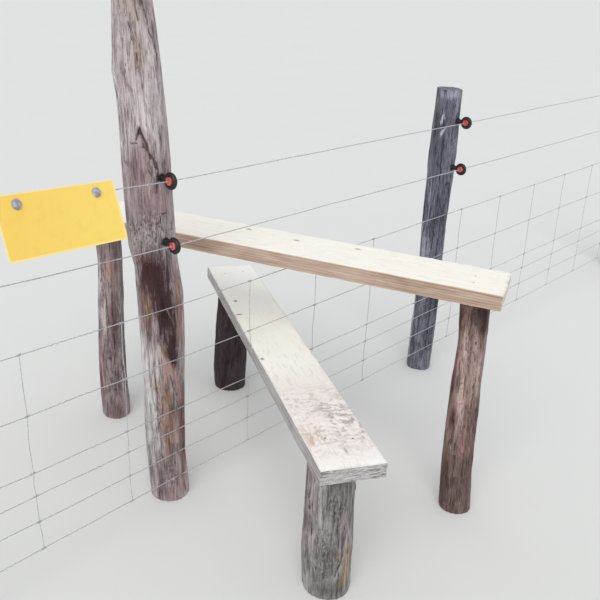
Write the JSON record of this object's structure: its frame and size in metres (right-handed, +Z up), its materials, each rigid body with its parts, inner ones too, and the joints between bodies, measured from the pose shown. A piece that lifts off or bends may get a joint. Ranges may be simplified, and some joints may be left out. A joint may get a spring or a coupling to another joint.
{
  "type": "wooden stile",
  "caption": "Step-over stile of crossing plank treads on log legs, with a tall hand post and the wire fence bays it crosses.",
  "frame": {"origin": "centre of the hand post's foot, at ground level", "axes": "+Z up; +X along the middle fence bay from the hand post to the cleft post; -Y is the side with the wires and the sign"},
  "size_m": [4.7595, 1.3878, 1.64],
  "materials": {
    "sawn_timber": "fresh sawn softwood, pale cream, long edges redder",
    "hand_post_wood": "debarked log, mottled pink grey, weathered",
    "leg_wood": "rough log, partly barked, brown and grey",
    "grey_wood": "cleft post, weathered silver grey",
    "galvanised_wire": "galvanised, dull",
    "black_plastic": "black moulded plastic",
    "orange_plastic": "orange red moulded plastic",
    "yellow_plastic": "bright yellow plastic plate, bare",
    "grey_plastic": "grey plastic"
  },
  "bodies": {
    "root": {"lower_tread": "sawn_timber", "upper_tread": "sawn_timber", "lower_tread_near_leg": "leg_wood", "lower_tread_far_leg": "leg_wood", "upper_tread_near_leg": "leg_wood", "upper_tread_far_leg": "leg_wood", "left_end_post": "leg_wood", "right_end_post": "leg_wood", "hand_post": "hand_post_wood", "split_post": "grey_wood", "top_wire_left_bay": "galvanised_wire", "second_wire_left_bay": "galvanised_wire", "netting_left_bay": "galvanised_wire", "top_wire_middle_bay": "galvanised_wire", "second_wire_middle_bay": "galvanised_wire", "netting_middle_bay": "galvanised_wire", "top_wire_right_bay": "galvanised_wire", "second_wire_right_bay": "galvanised_wire", "netting_right_bay": "galvanised_wire", "hand_post_insulators": "black_plastic", "hand_post_insulator_cores": "orange_plastic", "split_post_insulators": "black_plastic", "split_post_insulator_cores": "orange_plastic", "left_end_post_insulators": "black_plastic", "left_end_post_insulator_cores": "orange_plastic", "right_end_post_insulators": "black_plastic", "right_end_post_insulator_cores": "orange_plastic", "bent_stay": "galvanised_wire", "sign_plate": "yellow_plastic", "sign_buttons": "grey_plastic", "sign_clips": "grey_plastic"}
  },
  "joints": []
}
